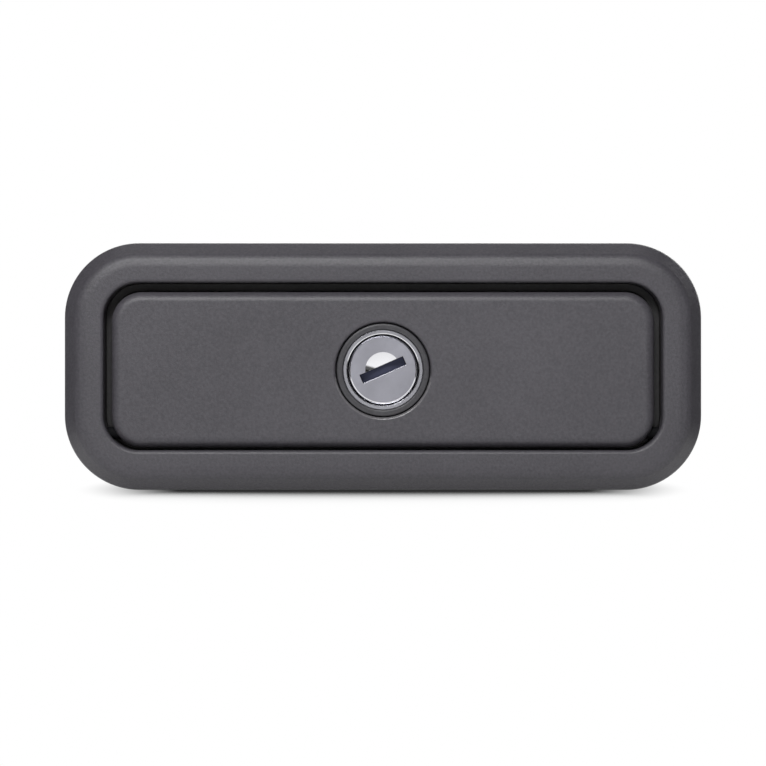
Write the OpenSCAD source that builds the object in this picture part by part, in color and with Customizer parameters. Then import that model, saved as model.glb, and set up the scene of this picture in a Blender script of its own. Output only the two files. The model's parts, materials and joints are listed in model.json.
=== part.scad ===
// Flush-mount compression lock for a hatch or locker door.
// A flap in a bezel carries a key cylinder. Swinging the flap out pulls two links,
// which lift a pair of claws off the striker bar. Pushing it flush draws the bar in.
// Frame: X along the lock, Z up, Y into the door. Y = 0 is the door's outer skin,
// and the origin is the middle of the door's cut-out.

/* [Bezel] */
// Width of the bezel
bezel_w = 130; // [122:0.5:140]
// Height of the bezel
bezel_h = 50.4; // [48:0.2:56]
// Thickness of the bezel in front of the gasket
bezel_t = 7; // [6.5:0.1:9]
// Radius of the bezel's corners in front view
bezel_corner_r = 15.2; // [14:0.1:16]
// Radius of the bullnosed outer edge
bezel_edge_r = 4.4; // [3:0.1:4.4]
// Rounding of the pocket's front lip
lip_r = 0.8; // [0.3:0.1:0.9]
// Wall left outside the rebate for the pan's flange
bezel_rim_t = 2.3; // [2:0.1:2.8]
// Width of the bezel beside the pocket
bezel_side_w = 8.25; // [7.5:0.05:8.8]
// Width of the bezel above and below the pocket
bezel_bar_w = 8.15; // [7.4:0.05:9]

/* [Pocket and pan] */
// Radius of the pocket's corners
pocket_corner_r = 7.1; // [6.5:0.1:8]
// Wall of the pan behind the bezel
pan_wall = 2.2; // [1.8:0.1:2.4]
// Thickness of the pan's flange
pan_flange_t = 2; // [1.8:0.1:2.4]
// Thickness of the pan's floor
pan_floor_t = 2.5; // [2:0.1:3]
// Height of the bosses that the rear plate sits on
pan_boss_h = 2; // [1:0.1:3]
// Radius of the screw columns inside the pan
column_r = 3.8; // [3.4:0.1:4.2]
// Length of the screw columns inside the pan
column_len = 10; // [8:0.5:12]
// Width of the frame that closes the gap round the flap
gap_frame_w = 1.6; // [1.4:0.1:1.8]
// Thickness of that frame
gap_frame_t = 1.5; // [1:0.1:1.6]

/* [Door] */
// Thickness of the door between gasket and rear plate
door_t = 20; // [18:0.5:24]
// Thickness of the gasket
gasket_t = 1.5; // [1:0.1:2]
// How far the gasket stays inside the bezel's outline
gasket_inset = 0.6; // [0.4:0.1:1]
// Gap between the gasket and the pan
gasket_gap = 0.4; // [0.2:0.1:0.6]

/* [Flap] */
// Gap at the flap's ends
flap_gap_side = 1.5; // [1.3:0.1:2]
// Gap above the flap
flap_gap_top = 1.9; // [1.4:0.05:2.2]
// Gap below the flap
flap_gap_bottom = 0.6; // [0.5:0.05:0.8]
// How far the flap's face lies behind the bezel's face
flap_recess = 0.8; // [0.6:0.1:1.2]
// Thickness of the flap's face
flap_face_t = 3; // [2.6:0.1:3.2]
// Depth of the flap's skirt, face included
flap_skirt_h = 5.5; // [5.2:0.1:5.8]
// Wall of the flap's skirt
flap_skirt_t = 2; // [1.6:0.1:2.4]
// Rounding of the flap's front edge
flap_edge_r = 2; // [1.2:0.1:2.2]
// Distance of the flap's ribs from its middle
flap_rib_x = 46; // [44:0.5:49]
// Thickness of the flap's ribs
flap_rib_t = 1.4; // [1:0.1:1.8]
// Radius of the flap's corners
flap_corner_r = 6.2; // [5.4:0.1:6.6]
// Radius of the hinge pin
hinge_pin_r = 1.25; // [1:0.05:1.4]
// How deep the hinge pin's ends sit in the bezel
hinge_pin_grip = 3; // [2:0.1:3.6]

/* [Key cylinder] */
// Height of the cylinder's axis over the middle of the bezel
lock_z = -0.7; // [-1.2:0.1:0.5]
// Outer radius of the collar
collar_r = 9.4; // [9:0.1:9.8]
// Thickness of the collar's rear flange in the radial direction
collar_flange_w = 0.9; // [0.7:0.1:1]
// Radius of the barrel's bright head
barrel_head_r = 8.1; // [7.9:0.05:8.3]
// Depth of the barrel's head
barrel_head_t = 2.2; // [2:0.1:2.4]
// Radius of the barrel's body
barrel_r = 7.5; // [7.3:0.05:7.6]
// Length of the barrel
barrel_len = 15.6; // [15:0.1:16]
// Radius of the plug's head
plug_head_r = 6.95; // [6.8:0.05:7]
// Depth of the plug's head
plug_head_t = 1.8; // [1.6:0.1:2]
// Radius of the plug's body
plug_r = 5.6; // [5.5:0.05:5.8]
// Length of the key slot
slot_l = 9.6; // [8:0.1:9.8]
// Width of the key slot
slot_w = 1.9; // [1.6:0.1:2.2]
// Depth of the key slot
slot_depth = 11; // [9:0.5:12]
// Angle of the key slot at rest
slot_angle = 23.5; // [0:0.5:45]
// Radius of the half-moon dimple
dimple_r = 3.6; // [3:0.1:4]
// Depth of the half-moon dimple
dimple_depth = 1.2; // [0.8:0.1:1.4]
// How far the dust shutter lies behind the plug's face
shutter_depth = 2.2; // [2:0.05:2.25]
// Thickness of the dust shutter
shutter_t = 0.4; // [0.3:0.05:0.5]
// Number of wafers in the plug
wafer_count = 5; // [3:1:5]
// Thickness of a wafer
wafer_t = 1; // [0.8:0.1:1.2]
// Distance from wafer to wafer
wafer_pitch = 1.9; // [1.7:0.1:2]
// Reach of the tail cam from the plug's axis
cam_reach = 14.6; // [13.8:0.1:15.2]
// Width of the tail cam
cam_w = 8; // [7:0.5:9]
// Thickness of the tail cam
cam_t = 2; // [1.5:0.1:2.2]
// How far the tail cam goes behind the pan's ledge
cam_bite = 3.6; // [3:0.1:4]
// Width across the lock nut's flats
nut_flats = 18.4; // [17.6:0.1:18.6]
// Thickness of the lock nut
nut_t = 3; // [2.5:0.1:3.5]

/* [Linkage] */
// Distance from pivot to link pin, on the flap and on the claws
crank_r = 12; // [11.5:0.1:12.4]
// Angle of that crank at rest, measured up from the Y axis
crank_angle = 70; // [68:0.5:71]
// How far the claw shaft lies behind the rear plate
claw_shaft_back = 6; // [5.6:0.1:7]
// Height of the claw shaft over the middle of the bezel
claw_shaft_z = -5; // [-6:0.1:-4.5]
// Radius of the claw shaft
claw_shaft_r = 2.5; // [2:0.1:2.8]
// Radius of the link pins
link_pin_r = 1.6; // [1.3:0.05:1.8]
// Thickness of a link
link_t = 2; // [1.6:0.1:2.4]
// Half width of a link
link_half_w = 2.4; // [2.1:0.1:2.6]
// Radius of a link's eyes
link_eye_r = 3.2; // [2.8:0.1:3.4]
// Distance from the middle of the lock to the side of the claws
claw_side = 26.7; // [26:0.1:28]
// Thickness of a claw
claw_t = 4.5; // [4:0.1:5]
// Radius of a claw's hub
claw_hub_r = 5.2; // [4.8:0.1:5.4]
// Outer radius of a claw's hook
claw_hook_r = 17.5; // [16.5:0.1:18]
// Radius of the striker bar that the claws hold
striker_r = 3; // [2.5:0.1:3]
// Distance from the claw shaft to the drawn-in striker bar
striker_back = 10; // [9.5:0.1:10.2]

/* [Sheet and fixings] */
// Thickness of the rear plate
plate_t = 2; // [1.5:0.1:2.5]
// How far the rear plate stays inside the bezel's outline
plate_inset = 1.7; // [1:0.1:2.2]
// Thickness of the drive bracket
bracket_t = 1.5; // [1.2:0.1:1.6]
// Distance from the pocket's end to the plate screws
plate_screw_in = 7.25; // [6:0.05:8]
// Distance from the pocket's top and bottom to the plate screws
plate_screw_up = 6.05; // [5:0.05:6.5]
// Radius of a plate screw's shank
plate_screw_r = 2; // [1.5:0.1:2.2]
// Radius of a bezel screw's shank
bezel_screw_r = 0.95; // [0.8:0.05:1]
// Radius of a bracket screw's shank
bracket_screw_r = 1.2; // [1:0.05:1.3]
// Radius of the spring wire
spring_wire_r = 0.5; // [0.4:0.05:0.6]

/* [Hidden] */
$fn = 64;

// Running clearance of a pin in a turning hole, and the gap between fixed fits
run_gap = 0.05;
seat_gap = 0.1;
// Gap kept between pieces that pass each other
pass_gap = 0.3;
// Overshoot of a cut past the face it opens
over = 1;

// Colours
charcoal = [0.335, 0.325, 0.345];
black = [0.1, 0.1, 0.1];
bright = [0.82, 0.83, 0.86];
satin = [0.66, 0.66, 0.7];
zinc = [0.72, 0.74, 0.76];
steel = [0.5, 0.5, 0.53];

// Depths along Y
flange_back_y = -gasket_t;
rebate_y = flange_back_y - pan_flange_t;
bezel_front_y = flange_back_y - bezel_t;
flap_front_y = bezel_front_y + flap_recess;
flap_face_back_y = flap_front_y + flap_face_t;
flap_skirt_back_y = flap_front_y + flap_skirt_h;
pan_back_y = door_t - pan_boss_h;
pan_floor_y = pan_back_y - pan_floor_t;
plate_back_y = door_t + plate_t;
bracket_back_y = flap_face_back_y + bracket_t;
barrel_back_y = flap_front_y + barrel_len;
cam_front_y = barrel_back_y + pass_gap;
cam_back_y = cam_front_y + cam_t;

// Outlines
pocket_w = bezel_w - 2 * bezel_side_w;
pocket_h = bezel_h - 2 * bezel_bar_w;
flap_w = pocket_w - 2 * flap_gap_side;
flap_h = pocket_h - flap_gap_top - flap_gap_bottom;
flap_bottom_z = -pocket_h / 2 + flap_gap_bottom;
flap_mid_z = flap_bottom_z + flap_h / 2;
flap_top_z = flap_bottom_z + flap_h;
pan_w = pocket_w + 2 * pan_wall;
pan_h = pocket_h + 2 * pan_wall;
pan_corner_r = pocket_corner_r + pan_wall;
rebate_w = bezel_w - 2 * bezel_rim_t;
rebate_h = bezel_h - 2 * bezel_rim_t;
rebate_corner_r = bezel_corner_r - bezel_rim_t;
gasket_hole_w = pan_w + 2 * gasket_gap;
gasket_hole_h = pan_h + 2 * gasket_gap;

// Hinge axis of the flap. The flap's bottom edge is a barrel about it.
hinge_y = rebate_y - hinge_pin_r - run_gap;
hinge_barrel_r = hinge_y - flap_front_y;
hinge_z = flap_bottom_z + hinge_barrel_r;
hinge_pin_len = pocket_w + 2 * hinge_pin_grip;

// Hollow in the flap's back, above the barrel
flap_inner_low = hinge_z + hinge_barrel_r + 0.2;
flap_inner_h = flap_top_z - flap_skirt_t - flap_inner_low;
flap_rib_drop = 0.6;

// Claw shaft and the two link pins. Both cranks are equal and parallel,
// so the link, the shaft and the hinge form a parallelogram.
shaft_y = plate_back_y + claw_shaft_back;
shaft_z = claw_shaft_z;
crank = crank_r * [cos(crank_angle), sin(crank_angle)];
hinge_axis = [hinge_y, hinge_z];
shaft_axis = [shaft_y, shaft_z];
front_pin = hinge_axis + crank;
rear_pin = shaft_axis + crank;

// Places along X, on the right-hand side
ear_in = claw_side - bracket_t;
claw_in = claw_side - claw_t;
link_in = claw_side + pass_gap;
link_out = link_in + link_t;
pin_head_w = 0.6;
pin_head_r = link_pin_r + pin_head_w;
pin_head_t = 0.8;
rivet_out = link_out + seat_gap + pin_head_t;
spring_turns = 3;
spring_pitch = 2 * spring_wire_r + 0.08;
spring_w = spring_turns * spring_pitch + 2 * spring_wire_r;
cheek_in = claw_in - seat_gap - spring_w - 2 * seat_gap;
cheek_out = rivet_out + 1.4;
shaft_end = 2.4;
shaft_half = cheek_out + plate_t + shaft_end;
clip_t = 0.8;
clip_rim = 1.9;
clip_bite = 0.45;
clip_mouth_in = 0.6;

// Screw places
plate_screw_x = pocket_w / 2 - plate_screw_in;
plate_screw_z = pocket_h / 2 - plate_screw_up;
bezel_screw_diag = 45;
bezel_screw_at = [
    (bezel_w / 2 - bezel_corner_r + pocket_w / 2 - pocket_corner_r) / 2
        + cos(bezel_screw_diag) * (rebate_corner_r + pan_corner_r) / 2,
    (bezel_h / 2 - bezel_corner_r + pocket_h / 2 - pocket_corner_r) / 2
        + sin(bezel_screw_diag) * (rebate_corner_r + pan_corner_r) / 2
];
bezel_screw_len = 5.2;
bezel_screw_head_r = 1.5;
bracket_hole_r = collar_r + collar_flange_w + seat_gap;
bracket_screw_in = 2.75;
bracket_screw_at = [20, lock_z - flap_inner_low - bracket_screw_in];
bracket_screw_depth = 2.2;
bracket_screw_head_r = 2.2;
bracket_screw_head_h = 1.3;
plate_screw_head_r = 3.6;
plate_screw_head_h = 2.4;
plate_screw_len = 10;

// Buffers that the flap's top skirt lands on
buffer_x = 38;
buffer_r = 2.2;
buffer_t = 2;
buffer_stem_r = 1.2;
buffer_stem_len = 3;
buffer_drop = 0.6;
buffer_z = flap_top_z - flap_skirt_t - buffer_drop;
buffer_front_y = flap_skirt_back_y + pass_gap;
buffer_back_y = buffer_front_y + buffer_t;
buffer_post_half = 3.2;

// Ledge in the pan that the tail cam goes behind
ledge_z = lock_z + cam_reach - cam_bite;
ledge_t = 3;
ledge_margin = 3;
ledge_half = cam_w / 2 + ledge_margin;
ledge_back_y = cam_front_y - pass_gap;

// Frame that closes the gap round the flap, behind the flap's skirt
gap_frame_y = flap_skirt_back_y + 2 * pass_gap;

// Windows for the links and claws
window_pad = 1;
window_in = claw_in - seat_gap - pin_head_t - window_pad;
window_out = rivet_out + window_pad;
floor_window_low = -1.8;
floor_window_high = 9.6;
plate_window_low = -8;
plate_window_high = 13;

// Striker bar held by the claws, and the hook's eccentric inner face
striker_gap = 0.3;
hook_face_r = striker_back + striker_r - 1;
hook_face_off = 2.4;
hook_face_angle = -60;
hook_from = -25;
hook_to = 62;
cheek_low = 9;
cheek_high = 10.5;
cheek_corner_r = 4;
cheek_back = striker_back + striker_r + 2;

// Key cylinder
collar_gap = 0.24;
tail_half = 2.6;
cam_screw_r = 2;
cam_screw_head_r = 3.6;
cam_screw_head_h = 1.8;
cam_screw_len = 6;
wafer_w = 6;
wafer_window_w = 3;
wafer_window_l = 9.2;
wafer_from_y = flap_front_y + plug_head_t + 1;

// Draws its children with X right, Y up and Z towards the viewer, from depth back_y
module facing(back_y) {
    translate([0, back_y, 0]) rotate([90, 0, 0]) children();
}

// Draws a side view in Y and Z, to be extruded along X from x
module across(x) {
    translate([x, 0, 0]) rotate([90, 0, 90]) children();
}

// A round bar along Y from y0 to y1
module round_y(x, z, r, y0, y1) {
    translate([x, y1, z]) rotate([90, 0, 0]) cylinder(r = r, h = y1 - y0);
}

// A round bar along X from x0 to x1, at a place in the side view
module round_x(at, r, x0, x1) {
    translate([x0, at[0], at[1]]) rotate([0, 90, 0]) cylinder(r = r, h = x1 - x0);
}

// Left and right copies
module both_sides() {
    children();
    mirror([1, 0, 0]) children();
}

// Copies in all four corners
module four_corners() {
    both_sides() {
        children();
        mirror([0, 0, 1]) children();
    }
}

// Rectangle with round corners
module round_rect(w, h, r) {
    square([w - 2 * r, h], center = true);
    square([w, h - 2 * r], center = true);
    for (x = [-1, 1], y = [-1, 1]) translate([x * (w / 2 - r), y * (h / 2 - r)]) circle(r);
}

// Block with round corners between two depths
module round_block(w, h, r, y0, y1) {
    facing(y1) linear_extrude(y1 - y0) round_rect(w, h, r);
}

// Plate whose edge follows the profile drawn by its child, which spans 0 to r
// outwards from the corner centres and z0 to z1 in thickness
module edged_plate(w, h, r, z0, z1) {
    run_w = w - 2 * r;
    run_h = h - 2 * r;
    translate([-run_w / 2, -run_h / 2, z0]) cube([run_w, run_h, z1 - z0]);
    for (turn = [0 : 3]) {
        run = turn % 2 == 0 ? run_h : run_w;
        side = turn % 2 == 0 ? run_w : run_h;
        rotate(90 * turn) {
            translate([side / 2, run / 2, 0]) rotate_extrude(angle = 90) children();
            translate([side / 2, run / 2, 0]) rotate([90, 0, 0]) linear_extrude(run) children();
        }
    }
}

// Edge profile: square at the back, rounded by edge_r at the front
module rounded_edge(r, t, edge_r) {
    square([r, t - edge_r]);
    square([r - edge_r, t]);
    translate([r - edge_r, t - edge_r]) intersection() {
        circle(edge_r);
        square(edge_r);
    }
}

// Edge profile of a pocket that flares by flare_r at its front
module flared_edge(r, t, flare_r) {
    square([r, t + over]);
    difference() {
        translate([0, t - flare_r]) square([r + flare_r, flare_r + over]);
        translate([r + flare_r, t - flare_r]) circle(flare_r);
    }
}

// Tapered bar in the side view between two round ends
module side_bar(p0, r0, p1, r1) {
    d = p1 - p0;
    n = [-d[1], d[0]] / norm(d);
    polygon([p0 + r0 * n, p0 - r0 * n, p1 - r1 * n, p1 + r1 * n]);
    translate(p0) circle(r0);
    translate(p1) circle(r1);
}

// Sweeps a round wire along a list of points, carrying the ring's side from point to point
module wire(path, r, sides = 8) {
    last = len(path) - 1;
    dirs = [for (i = [0 : last])
        let (v = path[min(i + 1, last)] - path[max(i - 1, 0)]) v / norm(v)];
    function flat(v, d) = let (f = v - (v * d) * d) f / norm(f);
    function carry(v, i) = i > last ? [] : let (f = flat(v, dirs[i])) concat([f], carry(f, i + 1));
    ring_side = carry([1, 0, 0], 0);
    rings = [for (i = [0 : last])
        let (a = ring_side[i], b = cross(dirs[i], a))
        for (k = [0 : sides - 1]) path[i] + r * (cos(360 * k / sides) * a + sin(360 * k / sides) * b)];
    skin = [for (i = [0 : last - 1], k = [0 : sides - 1])
        [(i + 1) * sides + k, (i + 1) * sides + (k + 1) % sides,
         i * sides + (k + 1) % sides, i * sides + k]];
    ends = [[for (k = [0 : sides - 1]) k], [for (k = [sides - 1 : -1 : 0]) last * sides + k]];
    polyhedron(rings, concat(skin, ends));
}

// Front frame: bullnosed ring with a rebate for the pan and slots for the hinge pin
module bezel_frame() {
    color(charcoal) difference() {
        facing(flange_back_y) edged_plate(bezel_w, bezel_h, bezel_corner_r, 0, bezel_t)
            rounded_edge(bezel_corner_r, bezel_t, bezel_edge_r);
        facing(flange_back_y) translate([0, 0, -over])
            edged_plate(pocket_w, pocket_h, pocket_corner_r, 0, bezel_t + 2 * over)
                flared_edge(pocket_corner_r, bezel_t + over, lip_r);
        round_block(rebate_w, rebate_h, rebate_corner_r, rebate_y, flange_back_y + over);
        both_sides() {
            round_x(hinge_axis, hinge_pin_r + run_gap, pocket_w / 2 - pocket_corner_r, hinge_pin_len / 2);
            translate([pocket_w / 2 - pocket_corner_r, hinge_y, hinge_z - hinge_pin_r - run_gap])
                cube([hinge_pin_grip + pocket_corner_r, rebate_y - hinge_y + over, 2 * (hinge_pin_r + run_gap)]);
        }
        four_corners() round_y(bezel_screw_at[0], bezel_screw_at[1], bezel_screw_r + run_gap,
            flange_back_y - bezel_screw_len - seat_gap, rebate_y + over);
    }
}

// Thin frame in the pan's mouth that closes the gap round the flap
module gap_frame() {
    color(black) difference() {
        round_block(pocket_w - 2 * run_gap, pocket_h - 2 * run_gap, pocket_corner_r - run_gap,
            gap_frame_y, gap_frame_y + gap_frame_t);
        round_block(pocket_w - 2 * gap_frame_w, pocket_h - 2 * gap_frame_w, pocket_corner_r - gap_frame_w,
            gap_frame_y - over, gap_frame_y + gap_frame_t + over);
    }
}

// Tray behind the bezel, with its flange, columns, ledge and link windows
module rear_pan() {
    color(black) difference() {
        union() {
            difference() {
                union() {
                    round_block(rebate_w - 2 * seat_gap, rebate_h - 2 * seat_gap, rebate_corner_r - seat_gap,
                        rebate_y, flange_back_y);
                    round_block(pan_w, pan_h, pan_corner_r, rebate_y, pan_back_y);
                }
                round_block(pocket_w, pocket_h, pocket_corner_r, rebate_y - over, pan_floor_y);
            }
            four_corners() round_y(plate_screw_x, plate_screw_z, column_r,
                pan_floor_y - column_len, door_t);
            both_sides() translate([buffer_x - buffer_post_half, buffer_back_y, buffer_z - buffer_post_half])
                cube([2 * buffer_post_half, pan_floor_y + pan_floor_t / 2 - buffer_back_y,
                    pocket_h / 2 + pan_wall / 2 - buffer_z + buffer_post_half]);
            translate([-ledge_half, ledge_back_y - ledge_t, ledge_z])
                cube([2 * ledge_half, ledge_t, pocket_h / 2 + pan_wall / 2 - ledge_z]);
        }
        four_corners() round_y(plate_screw_x, plate_screw_z, plate_screw_r + run_gap,
            plate_back_y - plate_screw_len - plate_t - seat_gap, door_t + over);
        both_sides() {
            round_y(buffer_x, buffer_z, buffer_stem_r + run_gap,
                buffer_back_y - over, buffer_back_y + buffer_stem_len + seat_gap);
            translate([window_in, pan_floor_y - over, floor_window_low])
                cube([window_out - window_in, pan_floor_t + 2 * over, floor_window_high - floor_window_low]);
        }
        four_corners() {
            round_y(bezel_screw_at[0], bezel_screw_at[1], bezel_screw_r + run_gap,
                rebate_y - over, flange_back_y + over);
            bezel_screw_head(seat_gap / 2);
        }
    }
}

// Countersunk head of a bezel screw, grown by extra
module bezel_screw_head(extra) {
    head_h = bezel_screw_head_r - bezel_screw_r;
    translate([bezel_screw_at[0], flange_back_y, bezel_screw_at[1]]) rotate([90, 0, 0])
        cylinder(r1 = bezel_screw_head_r + extra, r2 = bezel_screw_r + extra, h = head_h);
}

// Countersunk screws that hold the pan in the bezel's rebate
module bezel_screws() {
    color(zinc) four_corners() {
        bezel_screw_head(0);
        round_y(bezel_screw_at[0], bezel_screw_at[1], bezel_screw_r,
            flange_back_y - bezel_screw_len, flange_back_y - seat_gap);
    }
}

// Seal between the flange and the door
module flange_gasket() {
    color(black) difference() {
        round_block(bezel_w - 2 * gasket_inset, bezel_h - 2 * gasket_inset, bezel_corner_r - gasket_inset,
            flange_back_y, 0);
        round_block(gasket_hole_w, gasket_hole_h, pan_corner_r + gasket_gap, flange_back_y - over, over);
    }
}

// Pin along the flap's bottom edge, held between the bezel's slots and the pan
module hinge_pin() {
    color(black) round_x(hinge_axis, hinge_pin_r, -hinge_pin_len / 2 + seat_gap, hinge_pin_len / 2 - seat_gap);
}

// Rubber stops on posts in the pan
module flap_buffers() {
    color(black) both_sides() {
        round_y(buffer_x, buffer_z, buffer_r, buffer_front_y, buffer_back_y);
        round_y(buffer_x, buffer_z, buffer_stem_r, buffer_back_y, buffer_back_y + buffer_stem_len);
    }
}

// Side view of a cheek: carries the shaft and has a mouth for the striker bar
module cheek_profile() {
    mouth_y = shaft_y + striker_back;
    back_y = shaft_y + cheek_back;
    half = striker_r + striker_gap;
    difference() {
        translate([(door_t + back_y) / 2, shaft_z + (cheek_high - cheek_low) / 2])
            round_rect(back_y - door_t, cheek_high + cheek_low, cheek_corner_r);
        translate([mouth_y, shaft_z]) circle(half);
        translate([mouth_y, shaft_z - half]) square([back_y - mouth_y + over, 2 * half]);
        translate(shaft_axis) circle(claw_shaft_r + run_gap);
    }
    translate([door_t, shaft_z - cheek_low]) square([cheek_corner_r, cheek_high + cheek_low]);
}

// Clamping plate behind the door, with two pairs of cheeks
module rear_plate() {
    color(zinc) {
        difference() {
            round_block(bezel_w - 2 * plate_inset, bezel_h - 2 * plate_inset, bezel_corner_r - plate_inset,
                door_t, plate_back_y);
            four_corners() round_y(plate_screw_x, plate_screw_z, plate_screw_r + seat_gap,
                door_t - over, plate_back_y + over);
            both_sides() translate([cheek_in, door_t - over, plate_window_low])
                cube([cheek_out - cheek_in, plate_t + 2 * over, plate_window_high - plate_window_low]);
        }
        both_sides() for (x = [cheek_in - plate_t, cheek_out]) across(x) linear_extrude(plate_t) cheek_profile();
    }
}

// Screws from the rear plate into the pan's columns
module plate_screws() {
    color(zinc) four_corners() {
        round_y(plate_screw_x, plate_screw_z, plate_screw_r,
            plate_back_y - plate_screw_len - plate_t, plate_back_y);
        difference() {
            round_y(plate_screw_x, plate_screw_z, plate_screw_head_r,
                plate_back_y, plate_back_y + plate_screw_head_h);
            translate([plate_screw_x, plate_back_y + plate_screw_head_h / 2, plate_screw_z])
                rotate([-90, 0, 0]) cylinder(r = plate_screw_r, h = plate_screw_head_h, $fn = 6);
        }
    }
}

// Shaft through the cheeks, grooved for the clips
module claw_shaft() {
    groove_x = cheek_out + plate_t + seat_gap;
    color(steel) difference() {
        round_x(shaft_axis, claw_shaft_r, -shaft_half, shaft_half);
        both_sides() difference() {
            round_x(shaft_axis, claw_shaft_r + over, groove_x, groove_x + clip_t + seat_gap);
            round_x(shaft_axis, claw_shaft_r - clip_bite - run_gap, groove_x - over, groove_x + clip_t + over);
        }
    }
}

// Retaining rings in the shaft's grooves
module shaft_clips() {
    clip_x = cheek_out + plate_t + seat_gap + seat_gap / 2;
    color(steel) both_sides() difference() {
        round_x(shaft_axis, claw_shaft_r + clip_rim, clip_x, clip_x + clip_t);
        round_x(shaft_axis, claw_shaft_r - clip_bite, clip_x - over, clip_x + clip_t + over);
        translate([clip_x - over, shaft_y - claw_shaft_r + clip_mouth_in, shaft_z])
            cube([clip_t + 2 * over, 2 * (claw_shaft_r - clip_mouth_in), claw_shaft_r + clip_rim + over]);
    }
}

// Spacers between the claws and the outer cheeks
module shaft_sleeves() {
    color(zinc) both_sides() difference() {
        round_x(shaft_axis, claw_shaft_r + 1.4, claw_side + seat_gap, cheek_out - seat_gap);
        round_x(shaft_axis, claw_shaft_r + run_gap, claw_side - over, cheek_out + over);
    }
}

// Torsion springs on the shaft: one leg on the rear plate, one hooked behind the claw's web
module kick_springs() {
    coil_r = claw_shaft_r + spring_wire_r + 0.6;
    steps = 20;
    half_turns = 2 * spring_turns + 1;
    first_x = cheek_in + 2 * seat_gap + spring_wire_r;
    last_x = first_x + spring_turns * spring_pitch;
    crank_side = [crank[1], -crank[0]] / crank_r;
    hook_at = shaft_axis + crank / 2 + ((claw_hub_r + link_eye_r) / 2 + spring_wire_r + seat_gap) * crank_side;
    bend_r = 3 * spring_wire_r;
    function on_coil(a, x) = [x, shaft_y + coil_r * cos(a), shaft_z + coil_r * sin(a)];
    path = concat(
        [[first_x, plate_back_y + spring_wire_r + seat_gap, shaft_z - cheek_low + 1]],
        [for (i = [0 : half_turns * steps / 2])
            on_coil(180 + 360 * i / steps, first_x + (last_x - first_x) * 2 * i / (half_turns * steps))],
        [[last_x, hook_at[0], hook_at[1] - bend_r],
         [last_x + bend_r / 3, hook_at[0], hook_at[1] - bend_r / 3],
         [last_x + bend_r, hook_at[0], hook_at[1]],
         [claw_side, hook_at[0], hook_at[1]]]
    );
    color(steel) both_sides() wire(path, spring_wire_r);
}

// Side view of the flap: face, skirt and the hinge barrel along the bottom edge
module flap_section() {
    translate([flap_front_y, hinge_z]) square([flap_skirt_h, flap_h]);
    translate(hinge_axis) circle(hinge_barrel_r);
}

// Pull flap
module flap() {
    depth = 2 * hinge_barrel_r;
    inner_w = flap_w - 2 * flap_skirt_t;
    inner_r = flap_corner_r - flap_skirt_t;
    color(charcoal) difference() {
        intersection() {
            facing(flap_front_y + depth) translate([0, flap_mid_z, 0])
                edged_plate(flap_w, flap_h, flap_corner_r, 0, depth)
                    rounded_edge(flap_corner_r, depth, flap_edge_r);
            across(-flap_w / 2) linear_extrude(flap_w) flap_section();
        }
        difference() {
            translate([0, 0, flap_inner_low + flap_inner_h / 2])
                round_block(inner_w, flap_inner_h, inner_r, flap_face_back_y, flap_skirt_back_y + over);
            both_sides() translate([flap_rib_x - flap_rib_t / 2, flap_face_back_y - over, flap_inner_low - over])
                cube([flap_rib_t, flap_skirt_h - flap_face_t - flap_rib_drop + over, flap_inner_h + 2 * over]);
        }
        round_x(hinge_axis, hinge_pin_r + run_gap, -bezel_w / 2, bezel_w / 2);
        round_y(0, lock_z, collar_r + collar_gap, flap_front_y - over, flap_face_back_y + over);
        round_y(0, lock_z, bracket_hole_r, flap_face_back_y, flap_skirt_back_y + over);
        four_corners_at_lock() round_y(bracket_screw_at[0], lock_z + bracket_screw_at[1], bracket_screw_r + run_gap,
            flap_face_back_y - bracket_screw_depth - seat_gap, flap_face_back_y + over);
    }
}

// Copies in four corners about the key cylinder's axis
module four_corners_at_lock() {
    both_sides() {
        children();
        translate([0, 0, lock_z]) mirror([0, 0, 1]) translate([0, 0, -lock_z]) children();
    }
}

// Steel bracket on the flap's back with two crank ears
module drive_bracket() {
    color(zinc) difference() {
        union() {
            translate([-claw_side, flap_face_back_y, flap_inner_low + pass_gap])
                cube([2 * claw_side, bracket_t, flap_inner_h - 2 * pass_gap]);
            both_sides() across(ear_in) linear_extrude(bracket_t) {
                translate(front_pin) circle(link_eye_r);
                translate([flap_face_back_y, front_pin[1] - link_eye_r])
                    square([front_pin[0] - flap_face_back_y, 2 * link_eye_r]);
            }
        }
        round_y(0, lock_z, bracket_hole_r, flap_face_back_y - over, bracket_back_y + over);
        both_sides() round_x(front_pin, link_pin_r + run_gap, ear_in - over, claw_side + over);
        four_corners_at_lock() round_y(bracket_screw_at[0], lock_z + bracket_screw_at[1], bracket_screw_r + seat_gap,
            flap_face_back_y - over, bracket_back_y + over);
    }
}

// Screws that hold the bracket on the flap
module bracket_screws() {
    color(zinc) four_corners_at_lock() {
        round_y(bracket_screw_at[0], lock_z + bracket_screw_at[1], bracket_screw_r,
            flap_face_back_y - bracket_screw_depth, bracket_back_y);
        round_y(bracket_screw_at[0], lock_z + bracket_screw_at[1], bracket_screw_head_r,
            bracket_back_y, bracket_back_y + bracket_screw_head_h);
    }
}

// Dark bush round the barrel, with a flange behind the flap's face
module lock_collar() {
    head_back_y = flap_front_y + barrel_head_t;
    color(charcoal) difference() {
        union() {
            round_y(0, lock_z, collar_r, flap_front_y, flap_face_back_y);
            round_y(0, lock_z, collar_r + collar_flange_w, flap_face_back_y, bracket_back_y);
        }
        round_y(0, lock_z, barrel_head_r + run_gap, flap_front_y - over, head_back_y);
        round_y(0, lock_z, barrel_r + run_gap, head_back_y - over, bracket_back_y + over);
    }
}

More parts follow.
